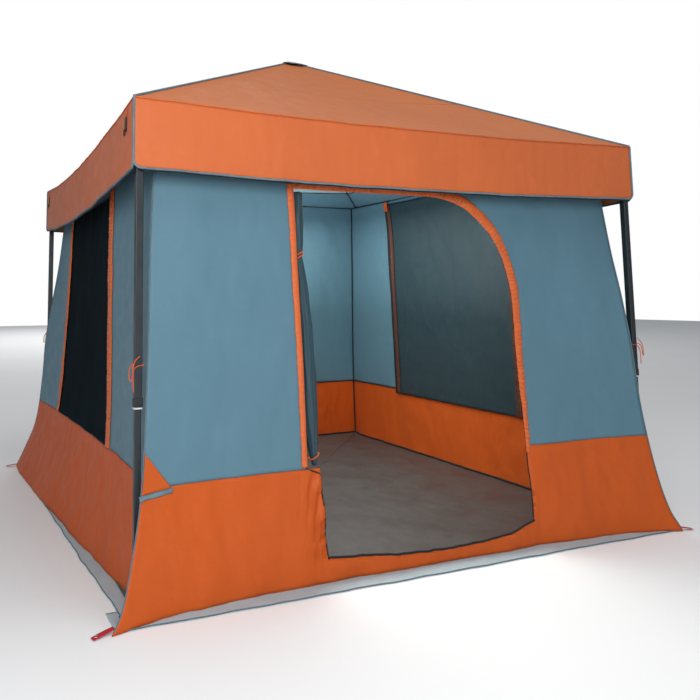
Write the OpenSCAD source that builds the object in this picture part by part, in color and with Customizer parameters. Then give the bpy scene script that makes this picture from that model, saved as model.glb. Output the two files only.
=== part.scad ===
// Pop-up cabin tent: a square canopy on a folding hub-and-arm frame, with a cabin hung under it.
// Millimetres, +Z up, origin on the ground at the middle. The door side faces -Y.

/* [Canopy] */
// Width of the square canopy over its valances
canopy_w = 2650; // [2600:10:2700]
// Height of the peak above the ground
peak_z = 2638; // [2600:1:2680]
// Height of the eave above the ground
eave_z = 1927; // [1920:1:1940]
// Height of the valance that hangs from the eave
valance_h = 277; // [200:1:320]
// Distance down the slope from the peak to the fold line of a roof panel
roof_fold_at = 810; // [700:10:850]
// Thickness of each cloth panel
cloth_t = 2; // [1:0.5:3]

/* [Frame] */
// Distance between the centres of neighbouring legs
leg_span = 2590; // [2560:2:2600]
// Outside width of the upper leg tube
leg_tube = 30; // [28:1:31]
// Outside width of the lower leg tube
inner_tube = 25; // [22:1:25]
// Wall thickness of both leg tubes
tube_wall = 1.5; // [1:0.1:1.5]
// Height of the lower end of the upper leg tube
leg_joint_z = 748; // [740:1:780]
// Width of an arm bar
arm_w = 14; // [10:1:14]
// Height of an arm bar
arm_h = 26; // [20:1:26]
// Radius of every pivot pin
pin_r = 4; // [3:0.5:5]
// Distance of the hub pivots from the middle of the hub
hub_pivot_r = 50; // [50:1:60]
// Height of the hub pivots
hub_pivot_z = 2520; // [2500:1:2530]
// Height of the pivots at the corner brackets
tip_pivot_z = 1900; // [1896:1:1902]
// Distance of a corner pivot from the leg centre, along the diagonal
tip_pivot_in = 44; // [44:1:50]

/* [Feet and locks] */
// Radius of the peg hole in each foot
peg_hole_r = 4.5; // [4:0.1:5]
// Thickness of a foot plate
foot_t = 5; // [4:0.5:6]
// Radius of a lock button
button_r = 4.5; // [4:0.1:5]

/* [Cabin] */
// Height of the top of the cabin walls
cabin_z = 1880; // [1860:1:1890]
// Width of the cabin at its top
cabin_top_w = 2400; // [2380:2:2420]
// Width of the cabin between its side walls at the ground
cabin_low_w = 2550; // [2540:2:2556]
// Depth of the cabin over its end walls at the ground
cabin_low_d = 2670; // [2664:2:2680]
// Height at which the corners flare out to the pegs
flare_z = 140; // [100:5:160]
// Distance from the middle plane to the end of a flared corner
flare_x = 1420; // [1400:5:1430]
// Distance of the ground flap's outer edge from the middle plane
flap_edge = 1410; // [1390:5:1420]
// Thickness of the groundsheet
sheet_t = 3; // [2:0.5:3]

/* [Door and windows] */
// Left edge of the doorway
door_left = -570; // [-600:5:-540]
// Right edge of the doorway
door_right = 590; // [560:5:620]
// Height of the top of the doorway
door_top = 1617; // [1600:1:1640]
// Height of the doorway's sill
door_sill = 115; // [100:1:130]
// Radius of the doorway's upper right corner
door_r = 520; // [480:5:540]
// Radius of the rolled-up door panel
roll_r = 32; // [25:1:34]
// Height of the lower edge of the side windows
window_low = 450; // [440:1:480]
// Height of the upper edge of the side windows
window_top = 1640; // [1600:1:1660]
// Width of a side window
window_w = 1240; // [1100:10:1260]
// Shift of the side windows towards the back
window_shift = 90; // [0:10:120]

/* [Hidden] */

$fn = 48;
// The four corners, as signs of x and y: front left, front right, back left, back right
FL = [-1, -1];
FR = [1, -1];
BL = [-1, 1];
BR = [1, 1];
// The four sides, as turns from the front side
FRONT = 0;
BACK = 180;
LEFT = -90;
RIGHT = 90;

// Roof
half_w = canopy_w / 2;
roof_angle = atan((peak_z - eave_z) / half_w);
roof_len = half_w / cos(roof_angle);
roof_start = 72;          // the panels begin this far down the slope, round the peak cap
seam_gap = 1.5;           // half the gap between neighbouring panels
cap_half = 60;
valance_drop = 5;         // the valance begins this far below the eave

// Arms: two equal bars from the hub to each corner, side by side at the elbow
leg_c = leg_span / 2;
leg_r = leg_c * sqrt(2);
tip_r = leg_r - tip_pivot_in;
arm_run = tip_r - hub_pivot_r;
arm_drop = hub_pivot_z - tip_pivot_z;
arm_len = sqrt(arm_run * arm_run + arm_drop * arm_drop) / 2;
arm_angle = atan(arm_drop / arm_run);
elbow_r = (hub_pivot_r + tip_r) / 2;
elbow_z = (hub_pivot_z + tip_pivot_z) / 2;
arm_side = arm_w / 2 + 1;  // offset of a bar's middle from the diagonal plane
pin_play = 0.05;
ear_t = 4;
ear_r = 11;
ear_gap = 0.5;
hub_r = 34;
hub_h = 48;
post_r = 12;
pad_r = 46;
pad_t = 7;
pad_top = peak_z - 35;

// Legs
bracket_w = leg_tube + 7;
bracket_low = 1850;
leg_top = 1893;
bracket_top = 1905;
slide_play = 0.2;
corner_r = 3;
collar_w = leg_tube + 4;
collar_h = 30;
lip_h = 3.5;
button_z = leg_joint_z + 17;
button_from = 16;
button_to = 20.5;
button_play = 0.2;
lower_top = 1160;
foot_half = 18;
foot_reach = 47;
foot_tab_r = 15;
socket_w = inner_tube + 5;
socket_h = 40;

// Cabin
end_lean = atan((cabin_low_d - cabin_top_w) / 2 / cabin_z);
side_lean = atan((cabin_low_w - cabin_top_w) / 2 / cabin_z);
end_h = cabin_z / cos(end_lean);
side_h = cabin_z / cos(side_lean);
hem_z = sheet_t + 0.5;
window_play = 1;
flare_gap = 0.5;
floor_half = 1265;
flap_half = 1240;
roll_low = 470;
roll_high = 1540;
peg_tab = [110, 24, 3];
peg_tab_at = [1425, 1390];

// Guy rings, on the side valances
guy_x = 1200;
guy_top = 1880;
guy_h = 60;
guy_w = 16;
guy_t = 1.5;
guy_slot = 4;
ring_r = 16;
ring_wire = 1.75;
ring_z = guy_top - guy_h - 8;

// Leg ties: a cord round the leg with a bow and two ends, from the leg's axis at tie_z.
// The points are for a leg at +x +y and are mirrored for the others.
tie_z = 900;
tie_d = 4;
tie_route = [
    [22, 26, -96], [23, 26, -72], [23, 25, -46], [22, 23, -24], [14, 20, -8], [0, 20, -2],
    [-13, 20, 0], [-20, 13, 1], [-20, -13, 2], [-13, -20, 3], [13, -20, 4], [20, -13, 5],
    [21, 4, 6], [26, 16, 4], [35, 22, -8], [39, 23, -28], [38, 26, -46], [34, 32, -55],
    [29, 38, -46], [28, 39, -28], [27, 37, -8], [22, 34, 10], [12, 32, 24], [0, 31, 34]
];

// ---- helpers ----

// A square outline with round corners
module round_square(w, r) {
    square([w - 2 * r, w], center = true);
    square([w, w - 2 * r], center = true);
    for (x = [-1, 1], y = [-1, 1])
        translate([x, y] * (w / 2 - r)) circle(r);
}

// A square tube along Z
module square_tube(outside, inside, r, h) {
    linear_extrude(h) difference() {
        round_square(outside, r);
        square(inside, center = true);
    }
}

// Mirrors a part made for the +x +y corner to the given one
module at_corner(c) {
    mirror([c.x < 0 ? 1 : 0, 0, 0]) mirror([0, c.y < 0 ? 1 : 0, 0]) children();
}

// Puts a part made round a leg's axis at the given corner
module at_leg(c) {
    at_corner(c) translate([leg_c, leg_c, 0]) children();
}

// Puts a part made in the XZ plane onto the diagonal of the given corner
module on_diagonal(c) {
    at_corner(c) rotate([0, 0, 45]) children();
}

// Turns a part made on the front side to the given side
module at_side(side) {
    rotate([0, 0, side]) children();
}

// A cloth panel from an outline of [across, up] points, leaning in from the front
module leaning_panel(low_y, lean, t = cloth_t) {
    translate([0, -low_y, 0]) rotate([90 - lean, 0, 0]) translate([0, 0, -t])
        linear_extrude(t) children();
}

// A round bar along Y, from y0 to y1
module cross_pin(r, y0, y1) {
    translate([0, y0, 0]) rotate([-90, 0, 0]) cylinder(r = r, h = y1 - y0);
}

// The blank of an arm bar from the origin along X, with round ends
module arm_blank(side) {
    translate([0, side - arm_w / 2, -arm_h / 2]) cube([arm_len, arm_w, arm_h]);
    for (x = [0, arm_len]) translate([x, 0, 0])
        cross_pin(arm_h / 2, side - arm_w / 2, side + arm_w / 2);
}

// Two ears and their pin, reaching along X from the pivot at the origin
module clevis(side, reach) {
    inner_face = side - arm_w / 2 - ear_gap;
    outer_face = side + arm_w / 2 + ear_gap;
    for (y = [inner_face - ear_t, outer_face]) {
        cross_pin(ear_r, y, y + ear_t);
        translate([min(0, reach), y, -ear_r]) cube([abs(reach), ear_t, 2 * ear_r]);
    }
    cross_pin(pin_r, inner_face - ear_t, outer_face + ear_t);
}

// ---- cord sweep ----

function unit(v) = v / norm(v);
// A point on the smooth curve through route points i and i + 1
function curve_point(p, i, t) =
    let (n = len(p) - 1,
         a = p[max(i - 1, 0)], b = p[i], c = p[i + 1], d = p[min(i + 2, n)])
    0.5 * ((2 * b) + (c - a) * t + (2 * a - 5 * b + 4 * c - d) * t * t
           + (3 * b - a - 3 * c + d) * t * t * t);
function smooth_route(p, steps) = concat(
    [for (i = [0 : len(p) - 2], s = [0 : steps - 1]) curve_point(p, i, s / steps)],
    [p[len(p) - 1]]);
function direction(p, i) = unit(p[min(i + 1, len(p) - 1)] - p[max(i - 1, 0)]);
// Carries a cross-section direction along the path without twist
function carried(p, i, v) = unit(v - (v * direction(p, i)) * direction(p, i));
function normals(p, i = 0, v = [0, 0, 1], out = []) =
    i == len(p) ? out
    : let (w = carried(p, i, i == 0 ? [1, 0.3, 0.1] : v)) normals(p, i + 1, w, concat(out, [w]));

module cord(path, d, sides = 8) {
    n = normals(path);
    rings = len(path);
    points = [for (i = [0 : rings - 1]) let (b = cross(direction(path, i), n[i]))
        for (k = [0 : sides - 1])
            path[i] + d / 2 * (cos(360 * k / sides) * n[i] + sin(360 * k / sides) * b)];
    walls = [for (i = [0 : rings - 2], k = [0 : sides - 1]) let (m = (k + 1) % sides)
        [(i + 1) * sides + k, (i + 1) * sides + m, i * sides + m, i * sides + k]];
    start = [for (k = [0 : sides - 1]) k];
    end = [for (k = [sides - 1 : -1 : 0]) (rings - 1) * sides + k];
    polyhedron(points, concat(walls, [start, end]));
}

// ---- frame ----

// The hub that carries the four arms, with the post that lifts the peak
module hub_body() {
    color([0.09, 0.10, 0.11]) {
        translate([0, 0, hub_pivot_z - hub_h / 2]) cylinder(r = hub_r, h = hub_h);
        translate([0, 0, hub_pivot_z]) cylinder(r = post_r, h = pad_top - hub_pivot_z);
        translate([0, 0, pad_top - pad_t]) cylinder(r = pad_r, h = pad_t);
        for (c = [FL, FR, BL, BR])
            on_diagonal(c) translate([hub_pivot_r, 0, hub_pivot_z])
                clevis(arm_side, hub_r / 2 - hub_pivot_r);
    }
}

// The patch that closes the canopy over the hub: a low pyramid, where two gables cross
module peak_cap() {
    cap_rise = cap_half * tan(roof_angle);
    color([0.12, 0.16, 0.20]) translate([0, 0, peak_z - cap_rise]) intersection_for (turn = [0, 90])
        rotate([90, 0, turn]) linear_extrude(2 * cap_half, center = true)
            polygon([[-cap_half, -cloth_t], [cap_half, -cloth_t], [cap_half, 0],
                     [0, cap_rise], [-cap_half, 0]]);
}

// The bar from the hub to the elbow, which carries the elbow's pin
module inner_arm(c) {
    head_t = 2;
    head_r = 8;
    far_face = -arm_side - arm_w / 2 - ear_gap;
    color([0.10, 0.12, 0.14])
        on_diagonal(c) translate([hub_pivot_r, 0, hub_pivot_z]) rotate([0, arm_angle, 0]) {
            difference() {
                arm_blank(arm_side);
                cross_pin(pin_r + pin_play, 0, arm_side + arm_w);
            }
            translate([arm_len, 0, 0]) {
                cross_pin(pin_r, far_face - head_t / 2, arm_side);
                cross_pin(head_r, far_face - head_t, far_face);
            }
        }
}

// The bar from the elbow to the corner bracket
module outer_arm(c) {
    color([0.12, 0.14, 0.16])
        on_diagonal(c) translate([elbow_r, 0, elbow_z]) rotate([0, arm_angle, 0])
            difference() {
                arm_blank(-arm_side);
                for (x = [0, arm_len]) translate([x, 0, 0])
                    cross_pin(pin_r + pin_play, -arm_side - arm_w, 0);
            }
}

// The plastic bracket on top of a leg, with the pivot of the outer arm
module corner_bracket(c) {
    color([0.07, 0.08, 0.09]) difference() {
        union() {
            at_leg(c) translate([0, 0, bracket_low]) linear_extrude(bracket_top - bracket_low)
                round_square(bracket_w, corner_r);
            on_diagonal(c) translate([tip_r, 0, tip_pivot_z]) clevis(-arm_side, tip_pivot_in);
        }
        at_leg(c) translate([0, 0, bracket_low - 1]) linear_extrude(leg_top - bracket_low + 1)
            square(leg_tube + slide_play, center = true);
    }
}

// The upper tube of a leg, with the hole for its lock button
module upper_leg(c) {
    color([0.08, 0.12, 0.15]) at_leg(c) difference() {
        translate([0, 0, leg_joint_z])
            square_tube(leg_tube, leg_tube - 2 * tube_wall, corner_r, leg_top - leg_joint_z - 0.2);
        button_hole();
    }
}

// The hole that a lock button slides in, on the face that looks along the side wall
module button_hole() {
    translate([0, 0, button_z]) cross_pin(button_r + button_play, -leg_tube, -inner_tube / 2);
}

// The collar round the lower end of the upper tube, with a lip that guides the lower tube
module collar(c) {
    color([0.06, 0.07, 0.08]) at_leg(c) difference() {
        union() {
            translate([0, 0, leg_joint_z - 0.2]) linear_extrude(collar_h) difference() {
                round_square(collar_w, corner_r + 1);
                square(leg_tube + slide_play, center = true);
            }
            translate([0, 0, leg_joint_z - lip_h])
                square_tube(collar_w, inner_tube + 0.8, corner_r + 1, lip_h - 0.1);
        }
        button_hole();
    }
}

// The sprung button that locks the leg's length
module lock_button(c) {
    color([0.75, 0.76, 0.77]) at_leg(c) translate([0, 0, button_z])
        cross_pin(button_r, -button_to, -button_from);
}

// The lower tube of a leg with its foot, which has a hole for a peg
module lower_leg(c) {
    color([0.08, 0.11, 0.14]) at_leg(c) {
        translate([0, 0, foot_t])
            square_tube(inner_tube, inner_tube - 2 * tube_wall, corner_r - 1, lower_top - foot_t);
        difference() {
            union() {
                linear_extrude(foot_t) {
                    round_square(2 * foot_half, corner_r);
                    translate([0, -foot_tab_r]) square([foot_reach, 2 * foot_tab_r]);
                    translate([foot_reach, 0]) circle(foot_tab_r);
                }
                square_tube(socket_w, inner_tube, corner_r, foot_t + socket_h);
            }
            translate([foot_reach, 0, -1]) cylinder(r = peg_hole_r, h = foot_t + 2);
        }
    }
}

// ---- canopy ----

// A strip of one roof side, between two distances down the slope from the peak
module roof_strip(side, from, to) {
    at_side(side) translate([0, 0, peak_z]) rotate([roof_angle, 0, 0])
        translate([0, 0, -cloth_t]) linear_extrude(cloth_t)
            polygon([for (p = [[-1, from], [1, from], [1, to], [-1, to]])
                [p[0] * (p[1] * cos(roof_angle) - seam_gap), -p[1]]]);
}

module canopy_upper(side) {
    color([0.83, 0.43, 0.24]) roof_strip(side, roof_start, roof_fold_at - seam_gap);
}

module canopy_lower(side) {
    color([0.85, 0.46, 0.26]) roof_strip(side, roof_fold_at + seam_gap, roof_len);
}

// The band that hangs from one eave; the side ones end between the front and back ones
module valance(side, half_len) {
    color([0.78, 0.40, 0.24]) at_side(side)
        translate([-half_len, -half_w, eave_z - valance_h])
            cube([2 * half_len, cloth_t, valance_h - valance_drop]);
}

// The webbing loops and rings for guy lines, near both ends of a side valance
module guy_rings(side) {
    loop_t = guy_slot + 2 * guy_t;
    color([0.08, 0.08, 0.09]) at_side(side) for (x = [-guy_x, guy_x])
        translate([x, -half_w - loop_t - 0.5, guy_top - guy_h]) {
            difference() {
                translate([-guy_w / 2, 0, 0]) cube([guy_w, loop_t, guy_h]);
                translate([-guy_w, guy_t, 2]) cube([2 * guy_w, guy_slot, guy_h - 4]);
            }
            translate([0, loop_t / 2, ring_z - guy_top + guy_h]) rotate([90, 0, 0])
                rotate_extrude() translate([ring_r, 0]) circle(ring_wire, $fn = 24);
        }
}

// ---- cabin ----

// The outline of an end wall
module end_outline() {
    low = cabin_low_w / 2;
    top = cabin_top_w / 2;
    polygon([[-low, hem_z], [low, hem_z], [low, flare_z], [top, end_h], [-top, end_h],
             [-low, flare_z]]);
}

// The two corners of an end wall that flare out at the ground
module flares() {
    low = cabin_low_w / 2 + flare_gap;
    leaning_panel(cabin_low_d / 2, end_lean) for (side = [0, 1]) mirror([side, 0])
        polygon([[low, hem_z], [flare_x, hem_z], [low, flare_z]]);
}

// The doorway's outline: straight on the hinge side, a large round corner on the other
module door_outline() {
    translate([door_left, door_sill]) square([door_right - door_r - door_left, door_top - door_sill]);
    translate([door_left, door_sill])
        square([door_right - door_left, door_top - door_r - door_sill]);
    translate([door_right - door_r, door_top - door_r]) circle(door_r, $fn = 96);
}

// The two tabs with which an end wall's corners are pegged to the ground
module peg_tabs() {
    for (side = [0, 1]) mirror([side, 0, 0])
        translate([peg_tab_at.x, -peg_tab_at.y, hem_z + peg_tab.z / 2]) rotate([0, 0, -45])
            cube(peg_tab, center = true);
}

module wall_front() {
    color([0.40, 0.55, 0.61]) {
        leaning_panel(cabin_low_d / 2, end_lean) difference() {
            end_outline();
            door_outline();
        }
        flares();
        peg_tabs();
    }
}

module wall_back() {
    color([0.38, 0.52, 0.58]) at_side(BACK) {
        leaning_panel(cabin_low_d / 2, end_lean) end_outline();
        flares();
        peg_tabs();
    }
}

// A side window's outline, shifted along the wall
module window_outline(shift, grow = 0) {
    translate([shift - window_w / 2 - grow, window_low - grow])
        square([window_w + 2 * grow, window_top - window_low + 2 * grow]);
}

// A side wall fits between the end walls and passes inside the legs
module side_wall(side, shift) {
    clear = cloth_t + 4;
    low = cabin_low_d / 2 - clear;
    top = cabin_top_w / 2 - clear;
    color([0.36, 0.50, 0.56]) at_side(side)
        leaning_panel(cabin_low_w / 2, side_lean) difference() {
            polygon([[-low, hem_z], [low, hem_z], [top, side_h], [-top, side_h]]);
            window_outline(shift);
        }
}

module side_window(side, shift) {
    color([0.10, 0.15, 0.18]) at_side(side)
        leaning_panel(cabin_low_w / 2, side_lean) window_outline(shift, -window_play);
}

// The door panel, rolled up and tied along the doorway's left edge
module door_roll() {
    color([0.10, 0.20, 0.23])
        translate([0, -cabin_low_d / 2, 0]) rotate([-end_lean, 0, 0])
            translate([door_left + roll_r + 8, 0, 0]) {
                translate([0, 0, roll_low]) cylinder(r = roll_r, h = roll_high - roll_low);
                for (z = [roll_low, roll_high]) translate([0, 0, z]) sphere(roll_r);
            }
}

// One quarter of the groundsheet, with the flap that lies outside the wall
module floor_panel(side) {
    color([0.36, 0.35, 0.34]) at_side(side) linear_extrude(sheet_t)
        polygon([[0, -2 * seam_gap], [floor_half - seam_gap, -floor_half - seam_gap],
                 [flap_half, -floor_half - seam_gap], [flap_half, -flap_edge],
                 [-flap_half, -flap_edge], [-flap_half, -floor_half - seam_gap],
                 [-floor_half + seam_gap, -floor_half - seam_gap]]);
}

// The cord that ties the cabin's corner seam to a leg
module tie(c) {
    color([0.90, 0.35, 0.15]) at_leg(c) translate([0, 0, tie_z])
        cord(smooth_route(tie_route, 3), tie_d);
}

hub_body();
peak_cap();
inner_arm(FL);  // inner_arm_fl
inner_arm(FR);  // inner_arm_fr
inner_arm(BL);  // inner_arm_bl
inner_arm(BR);  // inner_arm_br
outer_arm(FL);  // outer_arm_fl
outer_arm(FR);  // outer_arm_fr
outer_arm(BL);  // outer_arm_bl
outer_arm(BR);  // outer_arm_br
corner_bracket(FL);  // corner_bracket_fl
corner_bracket(FR);  // corner_bracket_fr
corner_bracket(BL);  // corner_bracket_bl
corner_bracket(BR);  // corner_bracket_br
upper_leg(FL);  // upper_leg_fl
upper_leg(FR);  // upper_leg_fr
upper_leg(BL);  // upper_leg_bl
upper_leg(BR);  // upper_leg_br
collar(FL);  // collar_fl
collar(FR);  // collar_fr
collar(BL);  // collar_bl
collar(BR);  // collar_br
lock_button(FL);  // lock_button_fl
lock_button(FR);  // lock_button_fr
lock_button(BL);  // lock_button_bl
lock_button(BR);  // lock_button_br
lower_leg(FL);  // lower_leg_fl
lower_leg(FR);  // lower_leg_fr
lower_leg(BL);  // lower_leg_bl
lower_leg(BR);  // lower_leg_br
canopy_upper(FRONT);  // canopy_upper_front
canopy_upper(BACK);  // canopy_upper_back
canopy_upper(LEFT);  // canopy_upper_left
canopy_upper(RIGHT);  // canopy_upper_right
canopy_lower(FRONT);  // canopy_lower_front
canopy_lower(BACK);  // canopy_lower_back
canopy_lower(LEFT);  // canopy_lower_left
canopy_lower(RIGHT);  // canopy_lower_right
valance(FRONT, half_w);  // valance_front
valance(BACK, half_w);  // valance_back
valance(LEFT, half_w - cloth_t - seam_gap);  // valance_left
valance(RIGHT, half_w - cloth_t - seam_gap);  // valance_right
guy_rings(LEFT);  // guy_rings_left
guy_rings(RIGHT);  // guy_rings_right
wall_front();
wall_back();
side_wall(LEFT, -window_shift);  // wall_left
side_wall(RIGHT, window_shift);  // wall_right
door_roll();
side_window(LEFT, -window_shift);  // window_left
side_window(RIGHT, window_shift);  // window_right
floor_panel(FRONT);  // floor_front
floor_panel(BACK);  // floor_back
floor_panel(LEFT);  // floor_left
floor_panel(RIGHT);  // floor_right
tie(FL);  // tie_fl
tie(FR);  // tie_fr
tie(BL);  // tie_bl
tie(BR);  // tie_br
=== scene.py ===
import math
from bisect import bisect_right

import bmesh
import bpy
from mathutils import Matrix, Vector, noise


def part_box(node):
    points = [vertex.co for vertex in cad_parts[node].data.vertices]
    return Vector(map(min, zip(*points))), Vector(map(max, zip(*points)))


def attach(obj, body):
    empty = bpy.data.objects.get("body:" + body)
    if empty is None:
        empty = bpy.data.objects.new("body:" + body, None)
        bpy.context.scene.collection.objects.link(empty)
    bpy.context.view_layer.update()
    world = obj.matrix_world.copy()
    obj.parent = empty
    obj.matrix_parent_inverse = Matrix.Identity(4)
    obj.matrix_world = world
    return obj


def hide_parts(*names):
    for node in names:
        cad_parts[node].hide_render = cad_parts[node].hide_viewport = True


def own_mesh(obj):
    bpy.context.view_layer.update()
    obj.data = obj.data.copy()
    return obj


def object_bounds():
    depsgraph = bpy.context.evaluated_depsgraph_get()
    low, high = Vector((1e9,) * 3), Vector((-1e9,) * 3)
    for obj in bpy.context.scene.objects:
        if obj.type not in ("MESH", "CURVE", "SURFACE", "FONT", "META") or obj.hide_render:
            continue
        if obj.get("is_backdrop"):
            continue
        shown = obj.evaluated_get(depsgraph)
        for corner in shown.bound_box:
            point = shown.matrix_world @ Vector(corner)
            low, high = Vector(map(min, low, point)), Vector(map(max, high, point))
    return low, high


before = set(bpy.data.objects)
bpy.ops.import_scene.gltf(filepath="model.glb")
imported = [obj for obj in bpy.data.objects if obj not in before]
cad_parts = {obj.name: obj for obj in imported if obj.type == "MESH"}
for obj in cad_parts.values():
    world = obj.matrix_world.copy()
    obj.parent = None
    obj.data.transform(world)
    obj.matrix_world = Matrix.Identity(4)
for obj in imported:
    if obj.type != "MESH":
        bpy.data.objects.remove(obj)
cad_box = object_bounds()

# ---- sizes, in metres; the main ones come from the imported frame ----

SIDES = {"front": 0, "right": 90, "back": 180, "left": -90}
CORNERS = {"fl": (-1, -1), "fr": (1, -1), "bl": (-1, 1), "br": (1, 1)}
HALF_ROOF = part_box("valance_right")[1].x
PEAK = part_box("peak_cap")[1].z + 0.003
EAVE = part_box("canopy_lower_front")[0].z + 0.002
FOLD_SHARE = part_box("canopy_upper_right")[1].x / HALF_ROOF
VALANCE_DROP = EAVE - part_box("valance_front")[0].z
LEG = sum(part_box("upper_leg_fr")[i].x for i in (0, 1)) / 2
LEG_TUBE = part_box("upper_leg_fr")[1].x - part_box("upper_leg_fr")[0].x
LEG_PASS = LEG + LEG_TUBE / 2 + 0.002
WALL_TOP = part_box("wall_front")[1].z + 0.02
WINDOW_LOW, WINDOW_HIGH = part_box("window_left")
FLAP_EDGE = -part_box("floor_front")[0].y
SHEET_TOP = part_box("floor_front")[1].z
CEILING_PEAK = 2.40
CEILING_HALF = 1.205
BAND_TOP = 1.99
SKIRT_TOP = 0.45
CLOTH = 0.0012
CELL = 0.015
PIPING = 0.0026
ZIP = 0.0035
BINDING = 0.004
TIE_HEIGHT = 0.9
TIE_D = 0.004
PEG_TAB = 0.085
PEG_TAB_WIDTH = 0.024


# ---- camera ----

def make_camera():
    data = bpy.data.cameras.new("camera")
    data.sensor_width = 36
    data.lens = 36.59
    data.shift_x = 0.156
    data.shift_y = -0.175
    camera = bpy.data.objects.new("camera", data)
    bpy.context.collection.objects.link(camera)
    heading, pitch, roll = (math.radians(angle) for angle in (22.13, 5.74, -0.38))
    turn = (Matrix.Rotation(-heading, 4, "Z") @ Matrix.Rotation(math.pi / 2 + pitch, 4, "X")
            @ Matrix.Rotation(roll, 4, "Z"))
    camera.matrix_world = Matrix.Translation((-1.957, -3.964, 1.145)) @ turn
    bpy.context.scene.camera = camera


make_camera()


# ---- node helpers ----

def srgb(red, green, blue):
    """Linear colour of a shade given in 0..255 display values."""
    def linear(value):
        value /= 255
        return value / 12.92 if value <= 0.04045 else ((value + 0.055) / 1.055) ** 2.4
    return (linear(red), linear(green), linear(blue), 1)


def shaded(colour, factor):
    return tuple(min(channel * factor, 1) for channel in colour[:3]) + (1,)


class Finish:
    """A node material being put together round one Principled shader."""

    def __init__(self, name, roughness=0.5, **sockets):
        self.material = bpy.data.materials.new(name)
        self.material.use_nodes = True
        self.tree = self.material.node_tree
        self.shader = self.tree.nodes["Principled BSDF"]
        self.set("Roughness", roughness)
        for socket, value in sockets.items():
            self.set(socket.replace("_", " "), value)

    def set(self, socket, value):
        self.feed(self.shader.inputs[socket], value)

    def add(self, kind, settings=None, **inputs):
        """A node; settings are its own fields, and inputs are its sockets by name."""
        node = self.tree.nodes.new(kind)
        for field, value in (settings or {}).items():
            setattr(node, field, value)
        for socket, value in inputs.items():
            self.feed(node.inputs[socket.replace("_", " ")], value)
        return node

    def feed(self, socket, value):
        if isinstance(value, bpy.types.NodeSocket):
            self.tree.links.new(value, socket)
        else:
            socket.default_value = value

    def maths(self, operation, first, second=0.0):
        node = self.add("ShaderNodeMath", {"operation": operation})
        self.feed(node.inputs[0], first)
        self.feed(node.inputs[1], second)
        return node.outputs[0]

    def mix(self, share, first, second):
        node = self.add("ShaderNodeMix", {"data_type": "RGBA"}, Factor=share)
        self.feed(node.inputs[6], first)
        self.feed(node.inputs[7], second)
        return node.outputs[2]

    def two_tone(self, value, low, high, colour, dark, light):
        """The colour in a darker and a lighter shade, blended by a value."""
        return self.mix(self.between(value, low, high), shaded(colour, dark),
                        shaded(colour, light))

    def place(self, output="Object", scale=(1, 1, 1)):
        """Coordinates on the piece, stretched by scale."""
        source = self.add("ShaderNodeTexCoord").outputs[output]
        mapping = self.add("ShaderNodeMapping", None, Vector=source, Scale=scale)
        return mapping.outputs["Vector"]

    def noise(self, where, scale, detail=4.0, roughness=0.5):
        return self.add("ShaderNodeTexNoise", None, Vector=where, Scale=scale, Detail=detail,
                        Roughness=roughness).outputs["Fac"]

    def between(self, value, low, high, out_low=0.0, out_high=1.0):
        node = self.add("ShaderNodeMapRange", {"interpolation_type": "SMOOTHSTEP"}, Value=value,
                        From_Min=low, From_Max=high, To_Min=out_low, To_Max=out_high)
        return node.outputs["Result"]

    def bands(self, where, axis, pitch):
        """Parallel bands of the given pitch, in the units of the coordinates."""
        scale = 2 * math.pi / (20 * pitch)
        return self.add("ShaderNodeTexWave", {"bands_direction": axis}, Vector=where,
                        Scale=scale).outputs["Fac"]

    def bump(self, height, distance, strength=1.0, under=None):
        node = self.add("ShaderNodeBump", None, Height=height, Distance=distance,
                        Strength=strength)
        if under is not None:
            self.feed(node.inputs["Normal"], under)
        return node.outputs["Normal"]

    def let_light_through(self, colour, share, normal):
        """Thin cloth glows a little on the side away from the light."""
        glow = self.add("ShaderNodeBsdfTranslucent", None, Color=colour, Normal=normal)
        both = self.add("ShaderNodeMixShader", None, Fac=share)
        self.tree.links.new(self.shader.outputs[0], both.inputs[1])
        self.tree.links.new(glow.outputs[0], both.inputs[2])
        self.tree.links.new(both.outputs[0], self.tree.nodes["Material Output"].inputs["Surface"])


# ---- finishes ----

def taffeta(name, colour, glow=0.0, pitch=0.0011, crease=1.0):
    """Coated woven cloth: fine square weave, soft creases, uneven dye, a painted highlight on the
    crumples and a dull sheen.
    """
    finish = Finish(name, Sheen_Weight=0.03, Sheen_Roughness=0.5, Specular_IOR_Level=0.32)
    where = finish.place()
    cloth = finish.place("UV")
    cloudy = finish.noise(where, 2.3, 5)
    crumpled = finish.noise(where, 13, 6, 0.55)
    cloth_colour = finish.two_tone(cloudy, 0.3, 0.7, colour, 0.97, 1.03)
    warp = finish.bands(cloth, "X", pitch)
    weft = finish.bands(cloth, "Y", pitch)
    woven = finish.maths("MULTIPLY", warp, weft)
    cloth_colour = finish.mix(finish.between(woven, 0.0, 0.7, 0.0, 0.22), cloth_colour, shaded(colour, 0.6))
    # Painted highlight: the crests of the crumples are painted lighter.
    cloth_colour = finish.mix(finish.between(crumpled, 0.56, 0.7, 0.0, 0.15), cloth_colour, shaded(colour, 1.2))
    finish.set("Base Color", cloth_colour)
    finish.set("Roughness", finish.between(crumpled, 0.3, 0.7, 0.43, 0.6))
    folds = finish.noise(where, 6.5, 3, 0.45)
    normal = finish.bump(folds, 0.009 * crease, 0.4)
    normal = finish.bump(crumpled, 0.003 * crease, 0.4, normal)
    normal = finish.bump(woven, 0.00025, 0.6, normal)
    finish.set("Normal", normal)
    if glow:
        finish.let_light_through(shaded(colour, 1.3), glow, normal)
    return finish.material


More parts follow.
